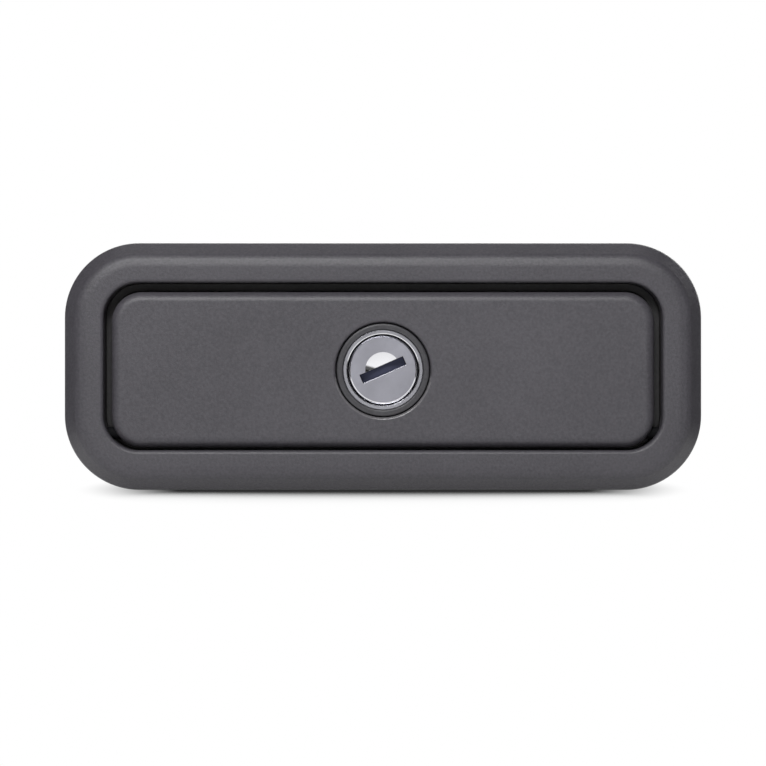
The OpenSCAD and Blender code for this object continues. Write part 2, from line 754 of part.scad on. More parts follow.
// Bright shell of the key cylinder
module lock_barrel() {
    head_back_y = flap_front_y + barrel_head_t;
    plug_step_y = flap_front_y + plug_head_t;
    color(bright) difference() {
        union() {
            round_y(0, lock_z, barrel_head_r, flap_front_y, head_back_y);
            round_y(0, lock_z, barrel_r, flap_front_y, barrel_back_y);
        }
        round_y(0, lock_z, plug_head_r + run_gap, flap_front_y - over, plug_step_y + run_gap);
        round_y(0, lock_z, plug_r + run_gap, flap_front_y - over, barrel_back_y + over);
    }
}

// Nut that clamps the barrel and collar to the flap
module lock_nut() {
    color(zinc) difference() {
        translate([0, bracket_back_y + nut_t, lock_z]) rotate([90, 0, 0])
            cylinder(d = nut_flats / cos(30), h = nut_t, $fn = 6);
        round_y(0, lock_z, barrel_r + run_gap, bracket_back_y - over, bracket_back_y + nut_t + over);
    }
}

// Rivet through a link and what carries it, between two faces along X
module link_rivet(at, inner_x) {
    round_x(at, link_pin_r, inner_x - seat_gap, link_out + seat_gap);
    round_x(at, pin_head_r, inner_x - seat_gap - pin_head_t, inner_x - seat_gap);
    round_x(at, pin_head_r, link_out + seat_gap, rivet_out);
}

// Rivets between the ears and the links
module front_link_pins() {
    color(steel) both_sides() link_rivet(front_pin, ear_in);
}

// Rivets between the claws and the links
module rear_link_pins() {
    color(steel) both_sides() link_rivet(rear_pin, claw_in);
}

// Draws its children about the plug's axis, turned to the key slot's angle
module on_plug(back_y) {
    translate([0, 0, lock_z]) facing(back_y) rotate(slot_angle) children();
}

// Turning plug: stepped cylinder with key slot, dimple, wafer chambers and square tail
module lock_plug() {
    head_back_y = flap_front_y + plug_head_t;
    ball_r = (dimple_r * dimple_r + dimple_depth * dimple_depth) / (2 * dimple_depth);
    color(satin) difference() {
        union() {
            round_y(0, lock_z, plug_head_r, flap_front_y, head_back_y);
            round_y(0, lock_z, plug_r, flap_front_y, cam_front_y - seat_gap);
            translate([-tail_half, flap_front_y, lock_z - tail_half])
                cube([2 * tail_half, cam_back_y - flap_front_y, 2 * tail_half]);
        }
        on_plug(flap_front_y + slot_depth) translate([-slot_l / 2, -slot_w / 2, 0])
            cube([slot_l, slot_w, slot_depth + over]);
        intersection() {
            on_plug(flap_front_y) translate([0, 0, ball_r - dimple_depth]) sphere(ball_r);
            on_plug(flap_front_y + dimple_depth) translate([-dimple_r, 0, -over])
                cube([2 * dimple_r, 2 * dimple_r, dimple_depth + 2 * over]);
        }
        wafer_places() translate([-plug_r, -wafer_w / 2 - seat_gap / 2, -seat_gap / 2])
            cube([2 * plug_r, wafer_w + seat_gap, wafer_t + seat_gap]);
        round_y(0, lock_z, cam_screw_r + run_gap, cam_back_y - cam_screw_len - seat_gap, cam_back_y + over);
    }
}

// Spring flap that closes the key slot against dust
module dust_shutter() {
    color(steel) on_plug(flap_front_y + shutter_depth + shutter_t)
        translate([run_gap - slot_l / 2, run_gap - slot_w / 2, 0])
            cube([slot_l - 2 * run_gap, slot_w - 2 * run_gap, shutter_t]);
}

// Places of the wafers along the plug
module wafer_places() {
    for (i = [0 : wafer_count - 1]) on_plug(wafer_from_y + wafer_t + i * wafer_pitch) children();
}

// Wafers: round-ended plates with a window for the key
module wafer_tumblers() {
    color([0.75, 0.62, 0.3]) wafer_places() linear_extrude(wafer_t) difference() {
        intersection() {
            circle(plug_r - run_gap);
            square([2 * plug_r, wafer_w], center = true);
        }
        square([wafer_window_l, wafer_window_w], center = true);
    }
}

// Cam on the plug's tail, pointing along the lock at rest
module tail_cam() {
    color(zinc) difference() {
        translate([0, 0, lock_z]) facing(cam_back_y) linear_extrude(cam_t) {
            circle(cam_w / 2 + 1);
            translate([0, -cam_w / 2]) square([cam_reach - cam_w / 4, cam_w]);
            translate([cam_reach - cam_w / 4, 0]) intersection() {
                translate([0, -cam_w / 2]) square([cam_w / 4, cam_w]);
                translate([cam_w / 4 - cam_reach, 0]) circle(cam_reach);
            }
        }
        translate([-tail_half - run_gap, cam_front_y - over, lock_z - tail_half - run_gap])
            cube([2 * (tail_half + run_gap), cam_t + 2 * over, 2 * (tail_half + run_gap)]);
    }
}

// Screw that holds the cam on the tail
module cam_screw() {
    color(steel) {
        round_y(0, lock_z, cam_screw_r, cam_back_y - cam_screw_len, cam_back_y + seat_gap);
        difference() {
            round_y(0, lock_z, cam_screw_head_r, cam_back_y + seat_gap, cam_back_y + cam_screw_head_h);
            translate([-cam_screw_head_r, cam_back_y + cam_screw_head_h / 2, lock_z - 0.5])
                cube([2 * cam_screw_head_r, cam_screw_head_h, 1]);
        }
    }
}

// Pull link from the flap's ear to the claw, on the right-hand side
module link_right() {
    color(zinc) across(link_in) linear_extrude(link_t) difference() {
        union() {
            side_bar(front_pin, link_half_w, rear_pin, link_half_w);
            for (at = [front_pin, rear_pin]) translate(at) circle(link_eye_r);
        }
        for (at = [front_pin, rear_pin]) translate(at) circle(link_pin_r + run_gap);
    }
}

module right_link() {
    link_right();
}

module left_link() {
    mirror([1, 0, 0]) link_right();
}

// Claw on the right-hand side: hub, crank to the link, and a hook behind the striker bar
module claw_right() {
    reach = 2 * claw_hook_r;
    color(zinc) across(claw_in) linear_extrude(claw_t) difference() {
        union() {
            side_bar(shaft_axis, claw_hub_r, rear_pin, link_eye_r);
            translate(shaft_axis) intersection() {
                difference() {
                    circle(claw_hook_r);
                    translate(hook_face_off * [cos(hook_face_angle), sin(hook_face_angle)]) circle(hook_face_r);
                }
                polygon([[0, 0], for (a = [hook_from, 20, hook_to]) reach * [cos(a), sin(a)]]);
            }
        }
        translate(shaft_axis) circle(claw_shaft_r + run_gap);
        translate(rear_pin) circle(link_pin_r + run_gap);
    }
}

module right_claw() {
    claw_right();
}

module left_claw() {
    mirror([1, 0, 0]) claw_right();
}

bezel_frame();
rear_pan();
gap_frame();
bezel_screws();
flange_gasket();
hinge_pin();
flap_buffers();
rear_plate();
plate_screws();
claw_shaft();
shaft_clips();
shaft_sleeves();
kick_springs();
flap();
drive_bracket();
bracket_screws();
lock_collar();
lock_barrel();
lock_nut();
front_link_pins();
lock_plug();
dust_shutter();
wafer_tumblers();
tail_cam();
cam_screw();
left_link();
right_link();
left_claw();
right_claw();
rear_link_pins();
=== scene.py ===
"""Looks for a flush-mount compression lock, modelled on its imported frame."""

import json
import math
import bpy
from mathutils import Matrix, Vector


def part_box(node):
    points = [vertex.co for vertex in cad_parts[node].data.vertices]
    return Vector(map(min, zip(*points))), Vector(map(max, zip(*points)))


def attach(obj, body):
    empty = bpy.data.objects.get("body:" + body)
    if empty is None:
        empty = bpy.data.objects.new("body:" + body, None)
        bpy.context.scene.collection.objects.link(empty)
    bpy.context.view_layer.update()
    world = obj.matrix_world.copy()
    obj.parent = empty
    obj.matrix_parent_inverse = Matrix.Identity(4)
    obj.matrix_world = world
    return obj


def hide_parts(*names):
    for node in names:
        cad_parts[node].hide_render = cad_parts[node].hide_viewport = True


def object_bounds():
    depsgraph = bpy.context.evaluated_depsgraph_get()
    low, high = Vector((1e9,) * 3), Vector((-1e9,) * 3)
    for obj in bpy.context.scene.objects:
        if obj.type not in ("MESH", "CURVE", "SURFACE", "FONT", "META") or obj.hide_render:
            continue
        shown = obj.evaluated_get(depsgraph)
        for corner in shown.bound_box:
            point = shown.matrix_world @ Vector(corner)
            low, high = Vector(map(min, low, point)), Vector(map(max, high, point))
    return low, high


bl_info = {
    "name": "Compression Lock",
    "version": (1, 0, 0),
    "blender": (4, 5, 0),
    "location": "3D View > Sidebar > Lock",
    "description": "Models the front and the key cylinder of a compression lock and finishes every piece",
    "category": "Add Mesh",
}

import bmesh
import bpy
from bpy.props import FloatProperty, FloatVectorProperty, PointerProperty
from mathutils import Matrix, Vector

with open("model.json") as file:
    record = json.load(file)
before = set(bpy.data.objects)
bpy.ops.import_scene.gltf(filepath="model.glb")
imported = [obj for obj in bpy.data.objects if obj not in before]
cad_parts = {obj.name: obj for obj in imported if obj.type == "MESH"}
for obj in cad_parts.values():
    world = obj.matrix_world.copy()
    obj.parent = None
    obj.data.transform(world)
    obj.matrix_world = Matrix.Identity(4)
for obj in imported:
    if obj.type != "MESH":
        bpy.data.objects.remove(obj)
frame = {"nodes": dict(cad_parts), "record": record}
CAD_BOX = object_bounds()

# Places taken from the frame
BEZEL_LOW, BEZEL_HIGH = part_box("bezel_frame")
FLAP_LOW, FLAP_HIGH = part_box("flap")
COLLAR_LOW, COLLAR_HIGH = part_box("lock_collar")
BARREL_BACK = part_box("lock_barrel")[1].y
PLUG_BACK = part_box("lock_plug")[1].y
CAM_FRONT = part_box("tail_cam")[0].y
LOCK_Z = (COLLAR_LOW.z + COLLAR_HIGH.z) / 2
FLOOR_Z = CAD_BOX[0][2]

# Steps in a moulding's corner, in a full turn and in the pocket's lip
CORNER_STEPS = 24
ROUND_STEPS = 128
LIP_STEPS = 5

# Roundings of edges: width in metres and steps
FACE_ROUNDING = (0.0004, 3)
SLOPE_ROUNDING = (0.0009, 8)
SIDE_ROUNDING = (0.0006, 6)
BACK_ROUNDING = (0.0003, 2)
HOLE_ROUNDING = (0.0006, 6)
RIB_ROUNDING = (0.00015, 2)
COLLAR_ROUNDING = (0.0003, 4)
SHELL_ROUNDING = (0.0001, 1)
SLOT_ROUNDING = (0.00006, 2)

# Angles in degrees: edges that shade as sharp, and corners of the turned pieces that get rounded
MOULDED_SHARP = 35
TURNED_SHARP = 20
TURNED_CORNER = 50

# Small sizes in metres: the flap's back, then the key cylinder
HINGE_WALL = 0.0002
RIB_SUNK = 0.0002
RUNNING_GAP = 0.00005
MOUTH_WIDTH = 0.00024
MOUTH_DEPTH = 0.00014
RIM_WIDTH = 0.00032
RIM_DEPTH = 0.00022
TAIL_WIDTH = 0.0052
TAIL_STEP = 0.0001

# Depths of the flap's lower back outline, as shares of the hinge barrel's radius
BARREL_SHARES = (0.75, 0.9, 1.0, 1.15, 1.3, 1.45, 1.6, 1.75)

# What picks the faces of a rim, for its painted highlight, or of the dimple: parts of the normal, and
# distances in metres
RIM_SLANT = (-0.97, -0.1)
RIM_TURN = 0.1
RIM_REACH = 0.0006
BALL_NEAR = 0.00006
BALL_FACING = 0.9

# Moulded grain: scale of the wide grain against the fine, and shares of wide grain and drift
WIDE_SCALE = 0.36
WIDE_IN_HEIGHT = 0.9
WIDE_IN_TONE = 0.7
DRIFT_IN_TONE = 0.3

# Worn patches on edges, cloudy plating and drawn lines, and the middle of a noise's range
PATCH_SCALE = 420.0
PATCH_RANGE = (0.35, 0.65)
CLOUD_SCALE = 110.0
CLOUD_IN_GLOSS = 0.5
LINES_IN_GLOSS = 0.5
NOISE_MIDDLE = (0.3, 0.7)

# How mouldings and metals vary: tone, roughness either way, rubbed edges, and strength of the bumps
MOULDED_TONE = (0.78, 1.22)
MOULDED_ROUGH = 0.03
MOULDED_RUBBED = 0.7
MOULDED_BUMP = 0.5
METAL_ROUGH = 0.06
METAL_RUBBED = 1.25
METAL_BUMP = 0.25
LINE_DEPTH = 0.00002
BLACK_STEEL_SPECULAR = 0.1

# Painted shade on the plug: where it starts and is full behind the face, and ends before the cam, in
# metres
PLUG_SHADE_START = 0.00002
PLUG_SHADE_FULL = 0.00025
PLUG_SHADE_END = 0.0015
PLUG_SHADE_COLOUR = (0.012, 0.012, 0.022, 1.0)

# The floor: half its side and its painted shadow's reach in metres, then how the painted shadow and
# reflection are drawn
FLOOR_HALF = 2.5
SHADOW_REACH = 0.3
SHADOW_RANGE = (0.57, 0.94)
SHADOW_DARKEST = 0.03
OVAL_DEPTH_SCALE = 8.0
OVAL_SHIFT = -0.15
OVAL_FADE = (0.64, 0.99)
BESIDE_LEVEL = 0.1
MIRROR_POWER = 0.3
PAPER = (0.8, 0.8, 0.8, 1.0)

# The world by direction along Y: white behind the lock, and grey from the front, less from the sides
BEHIND_RANGE = (0.8, 1.0)
AHEAD_RANGE = (-0.4, -1.0)
SIDE_SHARE = 0.1

# Place, width and height of each lamp in metres, and the width of the camera's sensor in millimetres
KEY_LAMP = ((-0.14, -0.63, 0.47), 0.5, 0.28)
BACK_LAMP = ((0.3, 0.85, 0.3), 0.9, 0.5)
TOP_LAMP = ((0.0, 0.4, 0.58), 0.6, 0.3)
SENSOR_WIDTH = 36.0


def length(name, description, default):
    """A size in metres for the panel."""
    return FloatProperty(name=name, description=description, default=default, min=0.0, precision=5,
                         subtype="DISTANCE", unit="LENGTH")


def colour(name, description, default):
    """A colour for the panel."""
    return FloatVectorProperty(name=name, description=description, default=default, size=3,
                               min=0.0, max=1.0, subtype="COLOR")


class LockSizes(bpy.types.PropertyGroup):
    """Sizes of the moulded front and of the key cylinder"""

    bezel_corner: length("Bezel corner", "Radius of the bezel's corners in front view", 0.0152)
    slope_start: length("Slope start", "How far inside the outline the face starts to slope", 0.0047)
    slope_depth: length("Slope depth", "Depth of the gentle slope", 0.0004)
    side_start: length("Side start", "How far inside its outline the bezel's steep side starts", 0.0028)
    side_depth: length("Side depth", "Depth at which the steep side meets the wall", 0.0041)
    bezel_rim: length("Bezel rim", "Wall left outside the rebate for the pan's flange", 0.0023)
    rebate_depth: length("Rebate depth", "Depth of the rebate in the bezel's back", 0.002)
    pocket_width: length("Pocket width", "Width of the pocket that the flap fills", 0.1135)
    pocket_height: length("Pocket height", "Height of the pocket", 0.0341)
    pocket_corner: length("Pocket corner", "Radius of the pocket's corners", 0.0071)
    lip: length("Lip", "Rounding of the pocket's front lip", 0.0008)
    flap_corner: length("Flap corner", "Radius of the flap's corners", 0.0062)
    flap_edge: length("Flap edge", "Rounding of the flap's front edge", 0.002)
    flap_barrel: length("Flap barrel", "Radius of the barrel along the flap's bottom edge", 0.0029)
    flap_low_edge: length("Flap low edge", "Rounding of the face's bottom edge", 0.0022)
    flap_face: length("Flap face", "Thickness of the flap's face", 0.003)
    flap_skirt: length("Flap skirt", "Depth of the flap's skirt, face included", 0.0055)
    flap_wall: length("Flap wall", "Wall of the flap's skirt", 0.002)
    rib_place: length("Rib place", "Distance of the flap's ribs from its middle", 0.046)
    rib_width: length("Rib width", "Thickness of the flap's ribs", 0.0014)
    rib_drop: length("Rib drop", "How far the ribs stay below the skirt's end", 0.0006)
    collar_radius: length("Collar radius", "Outer radius of the collar", 0.0094)
    collar_gap: length("Collar gap", "Gap between the collar and the flap", 0.00024)
    head_radius: length("Head radius", "Radius of the cylinder's bright head", 0.0081)
    head_depth: length("Head depth", "Depth of the cylinder's bright head", 0.0022)
    shell_radius: length("Shell radius", "Radius of the cylinder behind its head", 0.0075)
    plug_radius: length("Plug radius", "Radius of the plug's head", 0.00695)
    plug_depth: length("Plug depth", "Depth of the plug's head", 0.0018)
    groove_width: length("Groove width", "Width of the groove round the plug", 0.00025)
    groove_depth: length("Groove depth", "Depth of the groove round the plug", 0.0009)
    plug_body: length("Plug body", "Radius of the plug behind its head", 0.0056)
    slot_length: length("Slot length", "Length of the key slot", 0.0096)
    slot_width: length("Slot width", "Width of the key slot", 0.0019)
    slot_depth: length("Slot depth", "Depth of the key slot", 0.011)
    dimple_radius: length("Dimple radius", "Radius of the half-moon dimple", 0.0036)
    dimple_depth: length("Dimple depth", "Depth of the half-moon dimple", 0.0012)
    slot_angle: FloatProperty(name="Slot angle", description="Angle of the key slot at rest",
                              default=math.radians(23.5), subtype="ANGLE", unit="ROTATION")


class LockFinishes(bpy.types.PropertyGroup):
    """Colours of the finishes"""

    charcoal: colour("Charcoal", "Moulded bezel and flap", (0.078, 0.0742, 0.085))
    collar: colour("Collar", "Dark bush round the cylinder", (0.06, 0.059, 0.065))
    black: colour("Black", "Pan behind the bezel", (0.042, 0.041, 0.042))
    rubber: colour("Rubber", "Gasket and buffers", (0.016, 0.016, 0.017))
    bright: colour("Bright", "Nickelled shell of the cylinder", (0.56, 0.56, 0.61))
    satin: colour("Satin", "Satin face of the plug", (0.5, 0.5, 0.56))
    zinc: colour("Zinc", "Plated sheet and screws", (0.6, 0.61, 0.63))
    steel: colour("Steel", "Bare pins, shaft and springs", (0.47, 0.47, 0.49))
    brass: colour("Brass", "Wafers in the plug", (0.2, 0.145, 0.06))


class LockStage(bpy.types.PropertyGroup):
    """Camera and light"""

    view_width: length("View width", "Width of the picture at the bezel's edge", 0.15645)
    edge_depth: length("Edge depth", "Depth of the bezel's outline behind its face", 0.0044)
    view_drop: length("View drop", "How far the camera's axis lies below the middle of the bezel", 0.00337)
    focal: FloatProperty(name="Focal length", description="Focal length of the camera in millimetres",
                         default=135.0, min=20.0, subtype="NONE")
    key_power: FloatProperty(name="Key power", description="Power of the large lamp above the camera",
                             default=5.3, min=0.0, subtype="POWER", unit="POWER")
    back_power: FloatProperty(name="Back power", description="Power of the lamp behind the lock",
                              default=3.5, min=0.0, subtype="POWER", unit="POWER")
    top_power: FloatProperty(name="Top power", description="Power of the weak lamp above the lock",
                             default=0.45, min=0.0, subtype="POWER", unit="POWER")
    ambient: FloatProperty(name="Ambient", description="Strength of the grey light from the front",
                           default=0.14, min=0.0, max=1.0, subtype="FACTOR")


def rounded_loop(bm, span, y, radius):
    """Adds a rounded rectangle at depth y and returns its edges. Its span is low and high x, then z."""
    known = set(bm.faces)
    low_x, high_x, low_z, high_z = span
    square = bmesh.ops.create_grid(bm, x_segments=1, y_segments=1, size=0.5)["verts"]
    bmesh.ops.scale(bm, vec=(high_x - low_x, high_z - low_z, 1.0), verts=square)
    bmesh.ops.rotate(bm, cent=(0, 0, 0), matrix=Matrix.Rotation(math.pi / 2, 3, "X"), verts=square)
    bmesh.ops.translate(bm, vec=((low_x + high_x) / 2, y, (low_z + high_z) / 2), verts=square)
    bmesh.ops.bevel(bm, geom=square, offset=radius, offset_type="OFFSET", segments=CORNER_STEPS,
                    profile=0.5, affect="VERTICES", clamp_overlap=False, material=-1)
    made = [face for face in bm.faces if face not in known]
    if len(made) != 1:
        raise RuntimeError(f"a rounded outline came out as {len(made)} faces")
    edges = list(made[0].edges)
    bmesh.ops.delete(bm, geom=made, context="FACES_ONLY")
    return edges


def round_loop(bm, radius, y):
    """Adds a circle about the key cylinder's axis at depth y and returns its edges."""
    ring = bmesh.ops.create_circle(bm, cap_ends=False, radius=radius, segments=ROUND_STEPS)["verts"]
    bmesh.ops.rotate(bm, cent=(0, 0, 0), matrix=Matrix.Rotation(math.pi / 2, 3, "X"), verts=ring)
    bmesh.ops.translate(bm, vec=(0, y, LOCK_Z), verts=ring)
    return list({edge for vert in ring for edge in vert.link_edges})


def drawn_in(radius, behind):
    """How far a rounded edge lies inside its outline, at a distance from the depth where it is widest."""
    return radius - math.sqrt(max(0.0, radius ** 2 - behind ** 2))


def skin(bm, loops):
    """Bridges each loop of edges to the next."""
    for first, second in zip(loops, loops[1:]):
        bmesh.ops.bridge_loops(bm, edges=first + second)


def wall_from(bm, edges, shift):
    """Extrudes a loop of edges along Y and returns the loop at the wall's end."""
    made = bmesh.ops.extrude_edge_only(bm, edges=edges)["geom"]
    ends = [part for part in made if isinstance(part, bmesh.types.BMVert)]
    bmesh.ops.translate(bm, vec=(0.0, shift, 0.0), verts=ends)
    return [part for part in made if isinstance(part, bmesh.types.BMEdge)
            and all(vert in ends for vert in part.verts)]


def fill_flat(bm, outer, inner):
    """Fills the flat ring between two loops that lie at one depth."""
    made = bmesh.ops.triangle_fill(bm, use_beauty=True, use_dissolve=False, edges=outer + inner,
                                   normal=(0.0, -1.0, 0.0))
    if not any(isinstance(part, bmesh.types.BMFace) for part in made["geom"]):
        raise RuntimeError("a flat ring could not be filled")


def bevel_edges(bm, edges, width, steps):
    """Rounds a set of edges."""
    bmesh.ops.bevel(bm, geom=edges, offset=width, offset_type="OFFSET", segments=steps, profile=0.5,
                    affect="EDGES", clamp_overlap=True, material=-1)


def soften(bm, width, steps, angle=30):
    """Rounds every edge that is sharper than an angle in degrees."""
    limit = math.radians(angle)
    sharp = [edge for edge in bm.edges if len(edge.link_faces) == 2 and edge.calc_face_angle(0) > limit]
    bevel_edges(bm, sharp, width, steps)


def turn_profile(bm, points, closed=True):
    """Spins a list of radius and depth points about the key cylinder's axis."""
    verts = [bmesh.ops.create_vert(bm, co=(radius, y, LOCK_Z))["vert"][0] for radius, y in points]
    edges = [bm.edges.new(pair) for pair in zip(verts, verts[1:])]
    if closed:
        edges.append(bm.edges.new((verts[-1], verts[0])))
    bmesh.ops.spin(bm, geom=verts + edges, cent=(0, 0, LOCK_Z), axis=(0, 1, 0), dvec=(0, 0, 0),
                   angle=2 * math.pi, steps=ROUND_STEPS, use_merge=True, use_duplicate=False)
    bmesh.ops.remove_doubles(bm, verts=bm.verts, dist=1e-6)
    bmesh.ops.recalc_face_normals(bm, faces=bm.faces)


def new_object(bm, name, sharp=MOULDED_SHARP):
    """Makes an object of a finished mesh, with its normals outwards and its sharp edges marked."""
    bmesh.ops.remove_doubles(bm, verts=bm.verts, dist=1e-7)
    bmesh.ops.recalc_face_normals(bm, faces=bm.faces)
    mesh = bpy.data.meshes.new(name)
    bm.to_mesh(mesh)
    bm.free()
    mesh.shade_smooth()
    mesh.set_sharp_from_angle(angle=math.radians(sharp))
    piece = bpy.data.objects.new(name, mesh)
    bpy.context.scene.collection.objects.link(piece)
    return piece


def even_shading(piece):
    """Lets the large faces set the normals, so that flats stay flat beside rounded edges."""
    even = piece.modifiers.new("even_shading", "WEIGHTED_NORMAL")
    even.mode = "FACE_AREA"
    even.weight = 80
    even.keep_sharp = True


def fit_piece(piece, slot, body, *nodes):
    """Gives a piece its finish, its body and the nodes that it stands for."""
    piece.data.materials.clear()
    piece.data.materials.append(finish_of(slot))
    even_shading(piece)
    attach(piece, body)
    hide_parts(*nodes)


def gloss_and_highlight_faces(piece, slot, chosen):
    """Gives the faces that a test picks a second, paler and glossier finish: a painted highlight on a rim,
    and a polish in the dimple.
    """
    piece.data.materials.append(finish_of(slot))
    for face in piece.data.polygons:
        face.material_index = 1 if chosen(face) else 0


def on_rim(face, front, low, high, upwards=False):
    """True for a slanted face of a round rim, in a range of radii, that looks downwards or upwards."""
    radius = math.hypot(face.center.x, face.center.z - LOCK_Z)
    slanted = RIM_SLANT[0] < face.normal.y < RIM_SLANT[1]
    turned = face.normal.z > RIM_TURN if upwards else face.normal.z < RIM_TURN
    return slanted and turned and low <= radius <= high and face.center.y < front + RIM_REACH


def cut_piece(piece, cutters):
    """Cuts pieces out of a piece and applies the cuts."""
    for cutter in cutters:
        cut = piece.modifiers.new("cut", "BOOLEAN")
        cut.operation = "DIFFERENCE"
        cut.solver = "EXACT"
        cut.object = cutter
    graph = bpy.context.evaluated_depsgraph_get()
    mesh = bpy.data.meshes.new_from_object(piece.evaluated_get(graph))
    piece.modifiers.clear()
    old = piece.data
    piece.data = mesh
    bpy.data.meshes.remove(old)
    for cutter in cutters:
        bpy.data.objects.remove(cutter)


def add_node(tree, kind, feeds=None, **settings):
    """Adds a node with its own settings. Feeds give its inputs, by name or number, a socket or a value."""
    node = tree.nodes.new(kind)
    for name, value in settings.items():
        setattr(node, name, value)
    for place, feed in (feeds or {}).items():
        if isinstance(feed, bpy.types.NodeSocket):
            tree.links.new(feed, node.inputs[place])
        else:
            node.inputs[place].default_value = feed
    return node


def reckon(tree, operation, *feeds, clamp=False):
    """Adds a math node on sockets or values and returns its result."""
    inputs = dict(enumerate(feeds))
    return add_node(tree, "ShaderNodeMath", inputs, operation=operation, use_clamp=clamp).outputs[0]


def reckon_vector(tree, operation, *feeds):
    """Adds a vector math node on sockets or values and returns it."""
    return add_node(tree, "ShaderNodeVectorMath", dict(enumerate(feeds)), operation=operation)


def ramp(tree, value, start, stop, low=0.0, high=1.0, smooth=False):
    """Maps a socket from one range to another and returns the result."""
    feeds = {"Value": value, "From Min": start, "From Max": stop, "To Min": low, "To Max": high}
    curve = "SMOOTHSTEP" if smooth else "LINEAR"
    return add_node(tree, "ShaderNodeMapRange", feeds, interpolation_type=curve).outputs["Result"]


def noise(tree, place, scale, detail, rough=0.5):
    """Adds a noise texture and returns its value."""
    feeds = {"Vector": place, "Scale": scale, "Detail": detail, "Roughness": rough}
    return add_node(tree, "ShaderNodeTexNoise", feeds).outputs["Fac"]


def object_place(tree):
    """Returns the place on the piece."""
    return add_node(tree, "ShaderNodeTexCoord").outputs["Object"]


def new_group(name, inputs, outputs):
    """Starts a shader node group with float inputs. Returns it, its inputs' sockets and its end node."""
    group = bpy.data.node_groups.new(name, "ShaderNodeTree")
    for socket, default in inputs.items():
        made = group.interface.new_socket(name=socket, in_out="INPUT", socket_type="NodeSocketFloat")
        made.default_value = default
    for socket, kind in outputs.items():
        group.interface.new_socket(name=socket, in_out="OUTPUT", socket_type=kind)
    return group, group.nodes.new("NodeGroupInput").outputs, group.nodes.new("NodeGroupOutput")


def close_group(group, end, results):
    """Links a group's results to its outputs and returns the group."""
    for name, socket in results.items():
        group.links.new(socket, end.inputs[name])
    return group


def grain_group():
    """Spark-eroded grain of a moulding: fine height, a slow drift of tone and a change of gloss."""
    group, start, end = new_group(
        "moulded_grain",
        {"Grain Scale": 5200.0, "Drift Scale": 45.0},
        {"Height": "NodeSocketFloat", "Tone": "NodeSocketFloat", "Gloss": "NodeSocketFloat"},
    )
    place = object_place(group)
    wide_scale = reckon(group, "MULTIPLY", start["Grain Scale"], WIDE_SCALE)
    fine = noise(group, place, start["Grain Scale"], detail=3.0, rough=0.6)
    wide = noise(group, place, wide_scale, detail=2.0, rough=0.55)
    drift = noise(group, place, start["Drift Scale"], detail=2.0)
    specks = reckon(group, "MULTIPLY", wide, WIDE_IN_TONE)
    height = reckon(group, "MULTIPLY_ADD", wide, WIDE_IN_HEIGHT, fine)
    tone = reckon(group, "MULTIPLY_ADD", drift, DRIFT_IN_TONE, specks)
    return close_group(group, end, {"Height": height, "Tone": tone, "Gloss": drift})


def edge_group():
    """Rubbed edges: a rounded normal and a mask that is 1 on an edge and 0 on a flat."""
    group, start, end = new_group(
        "rubbed_edge",
        {"Radius": 0.0003, "Reach": 4.0, "Breakup": 0.5},
        {"Normal": "NodeSocketVector", "Mask": "NodeSocketFloat"},
    )
    soft = add_node(group, "ShaderNodeBevel", {"Radius": start["Radius"]}, samples=4).outputs["Normal"]
    flat = add_node(group, "ShaderNodeNewGeometry").outputs["Normal"]
    same = reckon_vector(group, "DOT_PRODUCT", soft, flat).outputs["Value"]
    away = reckon(group, "SUBTRACT", 1.0, same)
    grown = reckon(group, "MULTIPLY", away, start["Reach"], clamp=True)
    least = reckon(group, "SUBTRACT", 1.0, start["Breakup"])
    patches = noise(group, object_place(group), PATCH_SCALE, detail=3.0)
    patchy = ramp(group, patches, *PATCH_RANGE, low=least)
    return close_group(group, end, {"Normal": soft, "Mask": reckon(group, "MULTIPLY", grown, patchy)})


def lines_group():
    """Drawn or brushed lines on metal, stretched along X, and cloudy plating."""
    group, start, end = new_group(
        "drawn_lines",
        {"Along": 60.0, "Across": 3000.0},
        {"Height": "NodeSocketFloat", "Gloss": "NodeSocketFloat", "Stain": "NodeSocketFloat"},
    )
    place = object_place(group)
    sides = {"X": start["Along"], "Y": start["Across"], "Z": start["Across"]}
    stretch = add_node(group, "ShaderNodeCombineXYZ", sides).outputs[0]
    drawn = reckon_vector(group, "MULTIPLY", place, stretch).outputs[0]
    lines = noise(group, drawn, scale=1.0, detail=3.0, rough=0.6)
    cloud = noise(group, place, CLOUD_SCALE, detail=4.0, rough=0.55)
    streaks = reckon(group, "MULTIPLY", lines, LINES_IN_GLOSS)
    gloss = reckon(group, "MULTIPLY_ADD", cloud, CLOUD_IN_GLOSS, streaks)
    return close_group(group, end, {"Height": lines, "Gloss": gloss, "Stain": cloud})


def place_group(tree, name, values):
    """Puts a shared effect, made when it is first asked for, in a material and returns its results."""
    makers = {"moulded_grain": grain_group, "rubbed_edge": edge_group, "drawn_lines": lines_group}
    group = bpy.data.node_groups.get(name) or makers[name]()
    return add_node(tree, "ShaderNodeGroup", values, node_tree=group).outputs


def new_material(name):
    """Starts a material and returns it with its node tree and its Principled shader."""
    material = bpy.data.materials.new(name)
    material.use_nodes = True
    tree = material.node_tree
    return material, tree, tree.nodes["Principled BSDF"]


def mix_colours(tree, mask, first, second):
    """Mixes two colours by a mask and returns the result."""
    return add_node(tree, "ShaderNodeMix", {0: mask, 6: first, 7: second}, data_type="RGBA").outputs[2]


def spread(tree, value, low=0.0, high=1.0):
    """Maps the middle of a noise's range to another range and returns the result."""
    return ramp(tree, value, *NOISE_MIDDLE, low, high)


def shade(values, factor):
    """A colour times a factor, kept within 0 and 1, and opaque."""
    return (*(min(1.0, value * factor) for value in values[:3]), 1.0)


def feed_shader(tree, shader, tint, rough, height, normal, depth, strength):
    """Feeds a colour, a roughness and a bump over a normal to a shader."""
    feeds = {"Height": height, "Normal": normal, "Distance": depth, "Strength": strength}
    bump = add_node(tree, "ShaderNodeBump", feeds).outputs["Normal"]
    for name, socket in {"Base Color": tint, "Roughness": rough, "Normal": bump}.items():
        tree.links.new(socket, shader.inputs[name])


